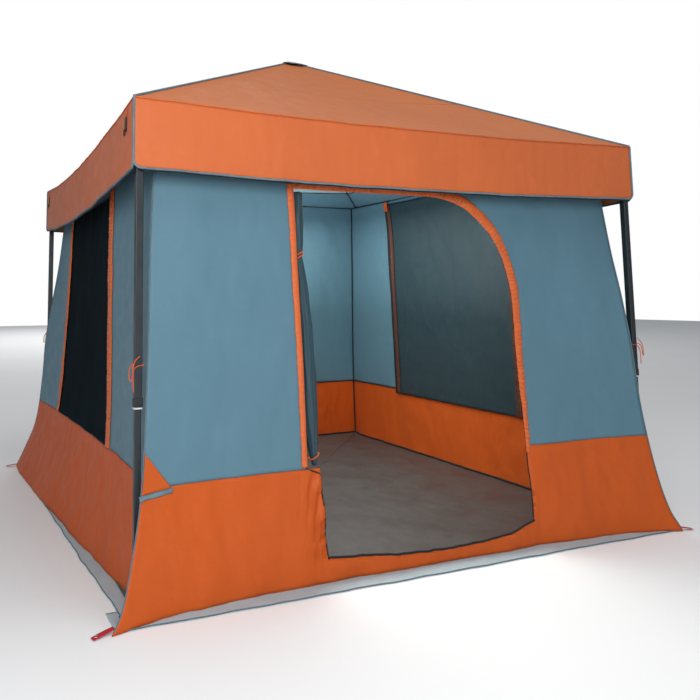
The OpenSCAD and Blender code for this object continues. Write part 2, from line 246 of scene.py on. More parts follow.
def netting(name, colour, pitch=0.0022):
    """Fine insect net: round holes in rows between dull yarns, with the holes painted darker as
    painted shade of the dark interior behind the net.
    """
    finish = Finish(name, 0.95, Specular_IOR_Level=0.04)
    cloth = finish.place("UV")
    across = finish.bands(cloth, "X", pitch)
    along = finish.bands(cloth, "Y", pitch)
    holes = finish.maths("MULTIPLY", across, along)
    broad = finish.noise(finish.place(), 2.0, 3)
    yarn = finish.two_tone(broad, 0.3, 0.7, colour, 0.8, 1.35)
    # Painted shade: the holes are painted much darker, where the shaded interior would show through.
    finish.set("Base Color", finish.mix(finish.between(holes, 0.25, 0.6), yarn, shaded(colour, 0.3)))
    finish.set("Normal", finish.bump(holes, 0.0006, 0.8))
    return finish.material


def woven_band(name, colour, pitch=0.0022, roughness=0.7):
    """Webbing, piping and trim: a diagonal rib along the band and two rows of stitches."""
    finish = Finish(name, roughness, Sheen_Weight=0.05, Specular_IOR_Level=0.3)
    cloth = finish.place("UV")
    ribs = finish.bands(cloth, "DIAGONAL", pitch)
    stitches = finish.bands(cloth, "X", 0.0045)
    split = finish.add("ShaderNodeSeparateXYZ", None, Vector=cloth)
    from_edge = finish.maths("PINGPONG", split.outputs["Y"], 0.02)
    row = finish.maths("COMPARE", from_edge, 0.003)
    row.node.inputs[2].default_value = 0.0007
    thread = finish.maths("MULTIPLY", row, finish.between(stitches, 0.35, 0.5))
    uneven = finish.noise(finish.place(), 22, 4)
    base = finish.two_tone(uneven, 0.3, 0.7, colour, 0.82, 1.1)
    base = finish.mix(finish.between(ribs, 0.2, 0.8, 0.0, 0.25), base, shaded(colour, 0.6))
    finish.set("Base Color", finish.mix(thread, base, shaded(colour, 0.45)))
    normal = finish.bump(ribs, 0.0004, 0.6)
    finish.set("Normal", finish.bump(thread, 0.0006, 0.7, normal))
    return finish.material


def powder_coat(name, colour, roughness=0.42):
    """Baked paint on steel: orange-peel skin, paler dust in patches and paler rubbed streaks that
    run up and down.
    """
    finish = Finish(name, roughness, Coat_Weight=0.15, Coat_Roughness=0.3)
    where = finish.place()
    peel = finish.noise(where, 420, 2)
    dust = finish.noise(where, 9, 6, 0.6)
    rubbed = finish.noise(finish.place("Object", (1, 1, 0.2)), 60, 5, 0.7)
    base = finish.mix(finish.between(dust, 0.45, 0.75, 0.0, 0.5), colour, shaded(colour, 1.5))
    finish.set("Base Color", finish.mix(finish.between(rubbed, 0.66, 0.74, 0.0, 0.3), base,
                                        shaded(colour, 3)))
    finish.set("Roughness", finish.between(dust, 0.3, 0.7, roughness - 0.06, roughness + 0.14))
    finish.set("Normal", finish.bump(peel, 0.0003, 0.35))
    return finish.material


def moulded(name, colour, roughness=0.5):
    """Injection-moulded nylon: fine spark texture and faint flow marks."""
    finish = Finish(name, roughness, Specular_IOR_Level=0.45)
    where = finish.place()
    spark = finish.noise(where, 900, 2)
    flow = finish.noise(finish.place("Object", (1, 1, 6)), 14, 4)
    finish.set("Base Color", finish.two_tone(flow, 0.35, 0.7, colour, 0.85, 1.25))
    finish.set("Roughness", finish.between(flow, 0.3, 0.7, roughness - 0.05, roughness + 0.1))
    finish.set("Normal", finish.bump(spark, 0.0002, 0.5))
    return finish.material


def plated(name, colour, roughness=0.28):
    """Zinc-plated steel with fine turning marks."""
    finish = Finish(name, roughness, Metallic=1.0)
    marks = finish.noise(finish.place("Object", (1, 1, 30)), 90, 3)
    finish.set("Base Color", finish.two_tone(marks, 0.3, 0.7, colour, 0.8, 1))
    finish.set("Roughness", finish.between(marks, 0.3, 0.7, roughness - 0.06, roughness + 0.12))
    finish.set("Normal", finish.bump(marks, 0.0001, 0.4))
    return finish.material


def groundsheet_finish(name, colour):
    """Woven polyethylene groundsheet: flat tapes in a plain weave, scuffed and a little dusty."""
    finish = Finish(name, 0.5, Coat_Weight=0.15, Coat_Roughness=0.5)
    where = finish.place()
    cloth = finish.place("UV")
    tapes = finish.maths("MULTIPLY", finish.bands(cloth, "X", 0.005),
                         finish.bands(cloth, "Y", 0.005))
    scuffed = finish.noise(where, 4.2, 7, 0.62)
    base = finish.two_tone(scuffed, 0.35, 0.68, colour, 0.93, 1.06)
    base = finish.mix(finish.between(tapes, 0.1, 0.8, 0.0, 0.35), base, shaded(colour, 0.62))
    finish.set("Base Color", base)
    finish.set("Roughness", finish.between(scuffed, 0.3, 0.7, 0.42, 0.66))
    normal = finish.bump(finish.noise(where, 7, 5, 0.5), 0.006, 0.4)
    finish.set("Normal", finish.bump(tapes, 0.0007, 0.6, normal))
    return finish.material


FINISHES = {
    "canopy_cloth": taffeta("canopy_cloth", srgb(206, 116, 60), 0.08, crease=0.5),
    "valance_cloth": taffeta("valance_cloth", srgb(203, 103, 54), 0.08, crease=0.5),
    "patch_cloth": taffeta("patch_cloth", srgb(62, 76, 84)),
    "wall_cloth": taffeta("wall_cloth", srgb(96, 134, 151), 0.2),
    "skirt_cloth": taffeta("skirt_cloth", srgb(206, 92, 26), 0.22, crease=1.3),
    "ceiling_cloth": taffeta("ceiling_cloth", srgb(168, 200, 206), 0.35),
    "trim_cloth": taffeta("trim_cloth", srgb(212, 104, 52), 0.1, crease=0.7),
    "shaded_trim": taffeta("shaded_trim", srgb(84, 48, 34), 0.02, crease=0.7),
    "door_cloth": taffeta("door_cloth", srgb(44, 68, 78), 0.03, crease=0.8),
    # Painted shade: the closed window flap is painted dark blue-grey for the shade it hangs in, with
    # the light from outside blocked.
    "flap_cloth": taffeta("flap_cloth", srgb(38, 58, 65), 0.05),
    "ground_flap": taffeta("ground_flap", srgb(172, 186, 192), 0.05, pitch=0.0025),
    "mesh": netting("mesh", srgb(15, 28, 34)),
    "piping": woven_band("piping", srgb(98, 122, 132)),
    "zip_tape": woven_band("zip_tape", srgb(18, 21, 24)),
    "webbing": woven_band("webbing", srgb(22, 24, 26), 0.003),
    "strap": woven_band("strap", srgb(206, 92, 40), 0.003),
    "peg_webbing": woven_band("peg_webbing", srgb(186, 16, 40), 0.003),
    "tie_cord": woven_band("tie_cord", srgb(214, 88, 38), 0.0025, 0.65),
    "groundsheet": groundsheet_finish("groundsheet", srgb(72, 66, 63)),
    "leg_paint": powder_coat("leg_paint", srgb(17, 27, 33)),
    "arm_paint": powder_coat("arm_paint", srgb(34, 42, 48), 0.38),
    "black_nylon": moulded("black_nylon", srgb(24, 26, 28)),
    "grey_nylon": moulded("grey_nylon", srgb(60, 68, 74)),
    "white_nylon": moulded("white_nylon", srgb(206, 210, 212), 0.42),
    "zinc": plated("zinc", srgb(198, 202, 206)),
}
# The record's slot for each finish that isn't named after its slot
SLOT_OF_FINISH = {"zip_tape": "webbing", "shaded_trim": "trim_cloth", "strap": "webbing",
                  "zinc": "eyelet", "black_nylon": "bracket_plastic"}


# ---- building blocks ----

def clamp(value):
    """The value, kept between 0 and 1."""
    return min(max(value, 0), 1)


def spaced(low, high, steps):
    """Evenly spaced values from low to high, both included."""
    return [low + (high - low) * i / steps for i in range(steps + 1)]


def smooth_line(*points):
    """A function through the given (place, value) points, smooth where it passes each."""
    places = [point[0] for point in points]
    values = [point[1] for point in points]
    last = len(points) - 1

    def slope(i):
        before, after = max(i - 1, 0), min(i + 1, last)
        return (values[after] - values[before]) / (places[after] - places[before])

    def value(x):
        x = min(max(x, places[0]), places[-1])
        i = min(max(bisect_right(places, x) - 1, 0), last - 1)
        span = places[i + 1] - places[i]
        t = (x - places[i]) / span
        rise = (3 - 2 * t) * t * t
        leave = t * (1 - t) ** 2 * slope(i) - t * t * (1 - t) * slope(i + 1)
        return values[i] + (values[i + 1] - values[i]) * rise + span * leave

    return value


def place(side, across, out, z):
    """The point that far across a side and that far out from the middle of the tent."""
    turn = math.radians(SIDES[side])
    return Vector((across * math.cos(turn) + out * math.sin(turn),
                   across * math.sin(turn) - out * math.cos(turn), z))


def facing(corner):
    """The end wall at a corner, and which way along it the corner lies."""
    sx, sy = CORNERS[corner]
    return ("front", sx) if sy < 0 else ("back", -sx)


def wave(x, y, seed):
    """Smooth noise, a different one for each seed."""
    return noise.noise(Vector((x, y, seed * 7.31)))


def circle(middle, first, second, count):
    """Points round a middle; first and second are two radii at right angles."""
    angles = [2 * math.pi * i / count for i in range(count)]
    return [middle + first * math.cos(angle) + second * math.sin(angle) for angle in angles]


def new_object(name, mesh):
    obj = bpy.data.objects.new(name, mesh)
    bpy.context.collection.objects.link(obj)
    return obj


def object_from(bm, name, finish):
    mesh = bpy.data.meshes.new(name)
    bm.normal_update()
    bm.to_mesh(mesh)
    bm.free()
    for polygon in mesh.polygons:
        polygon.use_smooth = True
    mesh.materials.append(FINISHES[finish])
    return new_object(name, mesh)


def thicken(obj, thickness=CLOTH, offset=-1.0):
    """Gives a sheet its thickness, on its inner side unless offset says otherwise."""
    shell = obj.modifiers.new("thickness", "SOLIDIFY")
    shell.thickness = thickness
    shell.offset = offset
    return obj


def cloth_grid(name, finish, columns, rows, lay, surface, distance=None, thickness=CLOTH,
               offset=-1.0):
    """A sheet of cloth. lay turns grid shares into places on the sheet, in metres, and
    surface turns those into points. Where distance is below zero, the cloth is cut away."""
    bm = bmesh.new()
    bmesh.ops.create_grid(bm, x_segments=columns, y_segments=rows, size=0.5)
    flat = {}
    for vertex in bm.verts:
        flat[vertex] = lay(vertex.co.x + 0.5, vertex.co.y + 0.5)
    if distance:
        fit_to_edge(bm, flat, distance)
    uv = bm.loops.layers.uv.new("UVMap")
    for face in bm.faces:
        for loop in face.loops:
            loop[uv].uv = flat[loop.vert]
    for vertex in bm.verts:
        vertex.co = surface(*flat[vertex])
    return thicken(object_from(bm, name, finish), thickness, offset)


def fit_to_edge(bm, flat, distance):
    """Cuts a hole whose edge is where distance is zero, and pulls the nearest vertices to it."""
    step = 0.001
    for vertex in bm.verts:
        x, y = flat[vertex]
        away = distance(x, y)
        if abs(away) < CELL * 0.6:
            pull = Vector((distance(x + step, y) - away, distance(x, y + step) - away)) / step
            if pull.length > 0.3:
                pull = pull / pull.length_squared
                flat[vertex] = (x - away * pull.x, y - away * pull.y)
    gone = []
    for face in bm.faces:
        corners = [flat[vertex] for vertex in face.verts]
        middle = [sum(corner[i] for corner in corners) / len(corners) for i in (0, 1)]
        if distance(*middle) < 0:
            gone.append(face)
    bmesh.ops.delete(bm, geom=gone, context="FACES")


def run_lengths(points):
    """How far along the points each one lies."""
    lengths = [0.0]
    for before, after in zip(points, points[1:]):
        lengths.append(lengths[-1] + (after - before).length)
    return lengths


def tube(name, finish, points, radius, closed=False):
    """A round cord, bead or wire along the points."""
    curve = bpy.data.curves.new(name, "CURVE")
    curve.dimensions = "3D"
    curve.bevel_depth = radius
    curve.bevel_resolution = 1
    curve.use_fill_caps = not closed
    spline = curve.splines.new("POLY")
    spline.use_cyclic_u = closed
    spline.points.add(len(points) - 1)
    for target, point in zip(spline.points, points):
        target.co = (*point, 1)
    drawn = new_object(name + "_line", curve)
    bpy.context.view_layer.update()
    mesh = bpy.data.meshes.new_from_object(drawn.evaluated_get(
        bpy.context.evaluated_depsgraph_get()))
    bpy.data.objects.remove(drawn)
    bpy.data.curves.remove(curve)
    bm = bmesh.new()
    bm.from_mesh(mesh)
    bpy.data.meshes.remove(mesh)
    wrap_along(bm, points, radius)
    bmesh.ops.recalc_face_normals(bm, faces=bm.faces[:])
    return object_from(bm, name, finish)


def wrap_along(bm, points, radius):
    """UVs that run along the tube in metres, so that a woven finish follows it."""
    uv = bm.loops.layers.uv.verify()
    travelled = run_lengths(points)
    ring = max(len(bm.verts) // len(points), 1)
    for face in bm.faces:
        for loop in face.loops:
            station = min(loop.vert.index // ring, len(points) - 1)
            around = (loop.vert.index % ring) / ring
            loop[uv].uv = (travelled[station], around * 2 * math.pi * radius)


def fit_to_fold(obj, side, body):
    """Rides the piece on its body."""
    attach(obj, body)
    finish = obj.data.materials[0].name.split(".")[0]
    SLOT_OF_FINISH.get(finish, finish)
    place(side, 1, 0, 0)
    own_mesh(obj)
    return obj


def on_wall(obj, side):
    return fit_to_fold(obj, side, f"side_{side}")


# ---- ties: a bow of cord round each leg ----

# One tie's route from the leg's own middle, in metres
TIE_ROUTE = [(x / 1000, y / 1000, z / 1000) for x, y, z in (
    (22, 26, -96), (23, 26, -72), (23, 25, -46), (22, 23, -24), (14, 20, -8), (0, 20, -2),
    (-13, 20, 0), (-20, 13, 1), (-20, -13, 2), (-13, -20, 3), (13, -20, 4), (20, -13, 5),
    (21, 4, 6), (26, 16, 4), (35, 22, -8), (39, 23, -28), (38, 26, -46), (34, 32, -55),
    (29, 38, -46), (28, 39, -28), (27, 37, -8), (22, 34, 10), (12, 32, 24), (0, 31, 34))]


def spline_points(points, steps):
    """Catmull-Rom points through the given ones, steps to each stretch."""
    ends = [points[0] * 2 - points[1], *points, points[-1] * 2 - points[-2]]
    found = []
    for a, b, c, d in zip(ends, ends[1:], ends[2:], ends[3:]):
        for i in range(steps):
            t = i / steps
            found.append((b * 2 + (c - a) * t + (a * 2 - b * 5 + c * 4 - d) * t ** 2
                          + (b * 3 - a - c * 3 + d) * t ** 3) / 2)
    return found + [points[-1]]


def make_tie(corner):
    sx, sy = CORNERS[corner]
    route = spline_points([Vector((sx * (LEG + x), sy * (LEG + y), TIE_HEIGHT + z))
                           for x, y, z in TIE_ROUTE], 5)
    tie = tube(f"tie_bow_{corner}", "tie_cord", route, TIE_D / 2)
    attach(tie, f"leg_{corner}")
    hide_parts(f"tie_{corner}")
    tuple(route[0])
    run_lengths(route)[-1]


for corner in CORNERS:
    make_tie(corner)


# ---- the shape of the cabin walls ----

# Each corner seam's distance from the middle planes by height, along X and along Y. At the
# front the end wall wraps round the leg; at the back left the side wall does.
front_x = smooth_line((0, 1.40), (0.1, 1.368), (0.3, 1.338), (0.6, 1.285), (0.9, 1.262),
                      (1.4, 1.235), (1.9, 1.198))
front_y = smooth_line((0, 1.43), (0.1, 1.387), (0.3, 1.345), (0.6, 1.329), (0.9, 1.315),
                      (1.15, 1.285), (1.4, 1.245), (1.9, 1.197))
front_left_x = smooth_line((0, 1.412), (0.06, 1.372), (0.15, 1.342), (0.3, 1.308), (0.45, 1.287),
                           (0.6, 1.276), (0.9, 1.262), (1.4, 1.235), (1.9, 1.198))
back_left_x = smooth_line((0, 1.495), (0.1, 1.45), (0.3, 1.378), (0.6, 1.342), (0.9, 1.322),
                          (1.4, 1.245), (1.9, 1.197))
back_left_y = smooth_line((0, 1.36), (0.1, 1.345), (0.3, 1.30), (0.5, 1.272), (0.9, 1.258),
                          (1.4, 1.235), (1.9, 1.198))
back_right_x = smooth_line((0, 1.30), (0.45, 1.248), (0.9, 1.22), (1.9, 1.165))
back_right_y = smooth_line((0, 1.46), (0.45, 1.385), (0.9, 1.335), (1.4, 1.275), (1.9, 1.22))
SEAMS = {"fl": (front_left_x, front_y), "fr": (front_x, front_y),
         "bl": (back_left_x, back_left_y), "br": (back_right_x, back_right_y)}
# The corners at the low and the high end of each side
ENDS = {"front": ("fl", "fr"), "right": ("fr", "br"), "back": ("br", "bl"), "left": ("bl", "fl")}
# The walls that pass behind the leg at a corner, and how far out they may stand there
TUCKED = (("left", "fl"), ("right", "fr"), ("right", "br"), ("back", "bl"))
BEHIND_LEG = 1.268
# How far out each wall stands at its middle, by height. The left one also leans out to the back.
front_middle = smooth_line((0, 1.31), (0.45, 1.285), (1.65, 1.235), (1.9, 1.215))
back_middle = smooth_line((0, 1.44), (0.45, 1.385), (1.1, 1.30), (1.9, 1.215))
left_middle = smooth_line((0, 1.405), (0.1, 1.365), (0.45, 1.272), (1.65, 1.232), (1.9, 1.203))
left_skew = smooth_line((0, 0.085), (0.45, 0.045), (1.0, 0.015), (1.9, 0))
right_middle = smooth_line((0, 1.277), (0.45, 1.266), (1.65, 1.232), (1.9, 1.203))


def is_end(side):
    return side in ("front", "back")


def seam_at(side, across, z):
    """Half the wall's width towards that end, and how far out its corner seam is."""
    x, y = SEAMS[ENDS[side][across > 0]]
    return (x(z), y(z)) if is_end(side) else (y(z), x(z))


def wall_half(side, across, z):
    return seam_at(side, across, z)[0]


def wall_middle(side, across, z):
    if side == "left":
        return left_middle(z) - left_skew(z) * across
    return {"front": front_middle, "back": back_middle, "right": right_middle}[side](z)


def wall_plain(side, across, z):
    """How far out a wall stands, without its wrinkles."""
    half, edge = seam_at(side, across, z)
    middle = wall_middle(side, across, z)
    if (side, ENDS[side][across > 0]) not in TUCKED:
        return middle + (edge - middle) * min(abs(across) / half, 1.02) ** 4
    limit = min(edge, BEHIND_LEG)
    turn = min(half, LEG_PASS)
    out = middle + (limit - middle) * min(abs(across) / turn, 1) ** 3
    if abs(across) > turn and half > turn:
        out += (edge - limit) * (abs(across) - turn) / (half - turn)
    return out


def wall_wrinkle(side, across, z):
    """How far the cloth's folds stand out: long ones down the wall, crumples in the skirt."""
    seed = SIDES[side] / 90 + 3
    towards = across if side == "front" else -across
    lean = across + (0.18 if towards > 0 else -0.12) * z
    long_fold = 0.011 * wave(lean / 0.24, z / 1.5, seed)
    drape = 0.006 * wave((across - 0.5 * z) / 0.13, (z + 0.3 * across) / 0.8, seed + 11)
    small = 0.002 * wave(across / 0.05, z / 0.11, seed + 23)
    crumple = 0.007 * wave(across / 0.09, z / 0.2, seed + 31)
    crumple += 0.0035 * wave((across + 0.4 * z) / 0.035, z / 0.08, seed + 37)
    crumple *= clamp((SKIRT_TOP + 0.05 - z) / 0.1)
    share = abs(across) / wall_half(side, across, z)
    fade = max(1 - share ** 10, 0) * min((WALL_TOP - z) / 0.12, 1)
    total = long_fold + drape + small + crumple
    if side == "front":
        total += gathers_by_door(across, z)
    if not is_end(side):
        total = 0.6 * min(total, 0.004 + 0.02 * max(0.9 - share, 0)) - 0.002
    return total * fade


def gathers_by_door(across, z):
    """Folds in the skirt that run down from the tied corner of the doorway, and in the sill."""
    from_tie = across + 0.545
    beside = math.exp(-(from_tie / 0.05) ** 2) * clamp((0.46 - z) / 0.06)
    fan = from_tie / (0.35 + 0.9 * (0.5 - z))
    pleats = math.sin(fan * 150 + 3 * wave(z / 0.1, 0, 41)) - 0.3
    tied = 0.016 * beside * min(z / 0.12, 1) * pleats
    under = clamp((0.13 - z) / 0.05) * clamp((0.62 - abs(across)) / 0.1)
    sill = 0.012 * under * min(z / 0.04, 1) * wave((across + 0.8 * z) / 0.05, z / 0.12, 43)
    return tied + sill


def wall_point(side, across, z, lift=0.0):
    out = wall_plain(side, across, z) + wall_wrinkle(side, across, z) + lift
    return place(side, across, out, z)


# ---- the doorway ----

DOOR_TOP = 1.622
# Where the arch springs from, and the power of its rounded outline
ARCH_X, ARCH_Z = 0.08, 1.10
ARCH_POWER = 2.15
DOOR_FOOT = 0.1
door_right = smooth_line((DOOR_FOOT, 0.586), (0.5, 0.577), (0.8, 0.555), (ARCH_Z, 0.552))
panel_left = smooth_line((0.44, -0.587), (0.9, -0.59), (1.2, -0.598), (DOOR_TOP, -0.606))
skirt_left = smooth_line((DOOR_FOOT, -0.503), (0.3, -0.514), (0.46, -0.528))
sill_line = smooth_line((-0.53, 0.10), (-0.2, 0.072), (0.1, 0.058), (0.4, 0.075), (0.6, 0.118))


def door_left(z):
    """The doorway's left edge: the skirt below it is gathered into the opening."""
    return skirt_left(z) if z <= SKIRT_TOP else panel_left(z)


def doorway(left_edge):
    """A measure of how far a point of the front wall is outside the doorway."""
    def distance(x, z):
        reach = max(x - ARCH_X, 0) / (door_right(z) - ARCH_X)
        rise = max(z - ARCH_Z, 0) / (DOOR_TOP - ARCH_Z)
        arch = ((reach ** ARCH_POWER + rise ** ARCH_POWER) ** (1 / ARCH_POWER) - 1) * 0.5
        return max(arch, left_edge(z) - x, sill_line(x) - z)
    return distance


def door_side_left(low, high):
    return [Vector((door_left(z), z)) for z in spaced(low, high, 60)]


def door_over_right(low):
    """The doorway's edge from its upper left corner, over the arch, down to a height."""
    path = [Vector((x, DOOR_TOP)) for x in spaced(panel_left(DOOR_TOP), ARCH_X, 30)[:-1]]
    wide, tall = door_right(ARCH_Z) - ARCH_X, DOOR_TOP - ARCH_Z
    for angle in spaced(math.pi / 2, 0, 90)[:-1]:
        path.append(Vector((ARCH_X + wide * math.cos(angle) ** (2 / ARCH_POWER),
                            ARCH_Z + tall * math.sin(angle) ** (2 / ARCH_POWER))))
    return path + [Vector((door_right(z), z)) for z in spaced(ARCH_Z, low, 44)]


# ---- walls and skirts ----

window_middle = {"left": -(WINDOW_LOW.y + WINDOW_HIGH.y) / 2,
                 "right": (WINDOW_LOW.y + WINDOW_HIGH.y) / 2}
WINDOW_HALF = (WINDOW_HIGH.y - WINDOW_LOW.y) / 2
WINDOW_TOP = WINDOW_HIGH.z + 0.02


def window_spread(z):
    """Half the width of a side window: it widens a little towards the skirt."""
    return WINDOW_HALF + 0.035 * (1 - z / WINDOW_TOP)


def window_distance(side):
    def distance(across, z):
        beside = abs(across - window_middle[side]) - window_spread(z)
        return max(beside, z - WINDOW_TOP, SKIRT_TOP - 0.01 - z)
    return distance


def wall_sheet(side, name, finish, low, high, distance, lift=0.0):
    def lay(u, v):
        z = low + (high - low) * v
        near, far = wall_half(side, -1, z), wall_half(side, 1, z)
        return (u * (near + far) - near, z)
    wide = wall_half(side, -1, low) + wall_half(side, 1, low)
    return cloth_grid(name, finish, round(wide / CELL), round((high - low) / CELL), lay,
                      lambda across, z: wall_point(side, across, z, lift), distance)


def panel_opening(side):
    """The hole in a wall's blue panel and its area, or nothing at the back."""
    if side == "back":
        return None, 0
    return (doorway(panel_left), 1.2) if side == "front" else (window_distance(side), 1.5)


def make_wall(side):
    """The blue panel and the orange skirt below it."""
    opening, cut = panel_opening(side)
    panel = wall_sheet(side, f"wall_panel_{side}", "wall_cloth", SKIRT_TOP, WALL_TOP, opening)
    skirt = wall_sheet(side, f"skirt_{side}", "skirt_cloth", 0.002, SKIRT_TOP,
                       doorway(skirt_left) if side == "front" else None, 0.0015)
    on_wall(panel, side)
    on_wall(skirt, side)
    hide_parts(f"wall_{side}")


def wall_line(side, start, end, steps, lift=0.0):
    """Points on a wall from start to end, each (share of the half width, height)."""
    shares = spaced(start[0], end[0], steps)
    heights = spaced(start[1], end[1], steps)
    return [wall_point(side, share * wall_half(side, share, z), z, lift)
            for share, z in zip(shares, heights)]


def wall_bead(name, finish, side, points, radius):
    return on_wall(tube(name, finish, points, radius), side)


def make_wall_beads(side):
    """Piping on the corner seams, and dark binding along the top, the skirt and the hem."""
    top = WALL_TOP
    wall_bead(f"wall_top_bead_{side}", "zip_tape", side,
              wall_line(side, (-1, top), (1, top), 90), BINDING)
    wall_bead(f"hem_binding_{side}", "zip_tape", side,
              wall_line(side, (-0.99, 0.012), (0.99, 0.012), 180, -0.008), 0.006)
    if side != "front":
        wall_bead(f"skirt_binding_{side}", "zip_tape", side,
                  wall_line(side, (-0.995, SKIRT_TOP), (0.995, SKIRT_TOP), 180, -0.003), 0.003)
    if side == "back":
        for share in (-1, 1):
            wall_bead(f"inner_corner_binding_{ENDS[side][share > 0]}", "zip_tape", side,
                      wall_line(side, (0.994 * share, 0.02), (0.994 * share, top), 120, -0.008),
                      BINDING)
    if is_end(side):
        for share, end in ((-1, "left"), (1, "right")):
            wall_bead(f"corner_piping_{side}_{end}", "piping", side,
                      wall_line(side, (share, 0.012), (share, top), 120, 0.001), PIPING)


# ---- trims ----

def ribbon(name, finish, side, path, width, inner=0.006, ruffle=0.0035, lift=0.003, rows=7,
           seed=1.0, pitch=0.017):
    """A gathered band sewn to a wall along a path of (across, height) points, on the path's
    left. It begins that far inside the path. Its width is a number, or a function of the
    share of the path."""
    travelled = run_lengths(path)
    total = travelled[-1]
    columns = max(round(total / 0.0042), 8)
    widest = width(0.3) if callable(width) else width

    def station(share):
        far = share * total
        i = min(max(bisect_right(travelled, far) - 1, 0), len(path) - 2)
        t = (far - travelled[i]) / (travelled[i + 1] - travelled[i])
        before = path[max(i - 1, 0)]
        after = path[min(i + 2, len(path) - 1)]
        along = (after - before).normalized()
        return path[i].lerp(path[i + 1], t), Vector((-along.y, along.x))

    def surface(far, off):
        share = far / total
        spot, left = station(share)
        wide = (width(share) if callable(width) else width) / widest
        edge = 0.006 * wave(far / 0.03, 0, seed + 5) * max(off / widest - 0.3, 0)
        spot = spot + left * (off * wide - inner + edge)
        rise = math.sin(math.pi * clamp(off / widest))
        phase = 2 * math.pi * far / pitch + 5 * wave(far / 0.06, off / 0.1, seed + 2)
        gathers = ruffle * (0.6 * math.sin(phase) + 1.2 * wave(far / 0.03, 0, seed + 9))
        return wall_point(side, spot.x, spot.y,
                          lift + 0.005 * rise + gathers * (0.25 + 0.75 * rise))

    band = cloth_grid(name, finish, columns, rows,
                      lambda u, v: (u * total, v * widest), surface, thickness=0.001, offset=1.0)
    return on_wall(band, side)


def make_door_trim():
    left = door_side_left(SKIRT_TOP + 0.01, DOOR_TOP + 0.02)
    over = door_over_right(SKIRT_TOP - 0.03)
    ribbon("door_trim_left", "trim_cloth", "front", left, smooth_line((0, 0.026), (1, 0.031)),
           inner=0.003, ruffle=0.0022)
    ribbon("door_trim_arch", "trim_cloth", "front", over,
           smooth_line((0, 0.036), (0.25, 0.056), (0.5, 0.05), (0.8, 0.038), (1, 0.02)),
           ruffle=0.0055, seed=2.0, pitch=0.021)
    outline = door_side_left(sill_line(-0.5), DOOR_TOP) + door_over_right(sill_line(0.6))[1:]
    zip_line = [wall_point("front", spot.x, spot.y, -0.002) for spot in outline]
    wall_bead("door_zip", "zip_tape", "front", zip_line, ZIP)
    sill = [wall_point("front", x, sill_line(x), 0.002)
            for x in spaced(skirt_left(DOOR_FOOT), door_right(DOOR_FOOT), 70)]
    wall_bead("sill_zip", "zip_tape", "front", sill, 0.005)


def make_window(side):
    """The net, its gathered side trims and the zip round it."""
    middle = window_middle[side]
    net = cloth_grid(
        f"window_net_{side}", "mesh", 84, 80,
        lambda u, v: (middle + (2 * u - 1) * (window_spread(z_at(v)) + 0.012), z_at(v)),
        lambda across, z: wall_point(side, across, z, -0.004))
    on_wall(net, side)
    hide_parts(f"window_{side}")
    for end in (-1, 1):
        where = "back" if (end < 0) == (side == "left") else "front"
        wide = {"front": 0.085, "back": 0.062}[where]
        heights = spaced(WINDOW_TOP + 0.04, SKIRT_TOP + 0.004, 60)[::-end]
        path = [Vector((middle + end * window_spread(z), z)) for z in heights]
        ribbon(f"window_trim_{side}_{where}", "trim_cloth", side, path, wide,
               inner=wide * 0.25, ruffle=0.004, seed=3.0 + end)
    edges = [(-1, SKIRT_TOP), (-1, WINDOW_TOP), (1, WINDOW_TOP), (1, SKIRT_TOP)]
    line = []
    for start, end in zip(edges, edges[1:]):
        for share, z in zip(spaced(start[0], end[0], 60)[:-1], spaced(start[1], end[1], 60)):
            line.append(wall_point(side, middle + share * window_spread(z), z, 0.002))
    wall_bead(f"window_zip_{side}", "zip_tape", side, line, ZIP)


def z_at(share):
    """The height on a window net at a share of the way up."""
    return SKIRT_TOP - 0.01 + (WINDOW_TOP - SKIRT_TOP + 0.025) * share


def make_window_flap():
    """The right window's cover, closed behind the net, with its zip and trims inside."""
    middle = window_middle["right"]
    low, high = SKIRT_TOP - 0.03, WALL_TOP - 0.03
    # The flap's dark blue-grey is painted shade.
    flap = cloth_grid(
        "window_flap_right", "flap_cloth", 84, 96,
        lambda u, v: (middle + (2 * u - 1) * (WINDOW_HALF + 0.03), low + (high - low) * v),
        lambda across, z: wall_point("right", across, z, -0.012))
    on_wall(flap, "right")
    for end in (-1, 1):
        across = middle + end * (WINDOW_HALF + 0.02)
        path = [Vector((across, z)) for z in spaced(low, high, 60)[::end]]
        where, tape = ("front", 0.04) if end < 0 else ("back", 0.026)
        ribbon(f"flap_trim_{where}", "shaded_trim", "right", path, 0.038, inner=-0.001,
               lift=-0.02, ruffle=0.002, seed=7.0 + end)
        ribbon(f"flap_zip_{where}", "zip_tape", "right", path, tape, inner=tape,
               lift=-0.02, ruffle=0.001, seed=17.0 + end)
    strap = [Vector((middle + WINDOW_HALF + 0.02, z)) for z in spaced(high + 0.02, high - 0.05, 10)]
    ribbon("flap_strap", "strap", "right", strap, 0.045, inner=0.02, lift=-0.026, ruffle=0.001,
           seed=19.0)


# ---- the rolled door panel ----

ROLL_INSIDE = 0.034


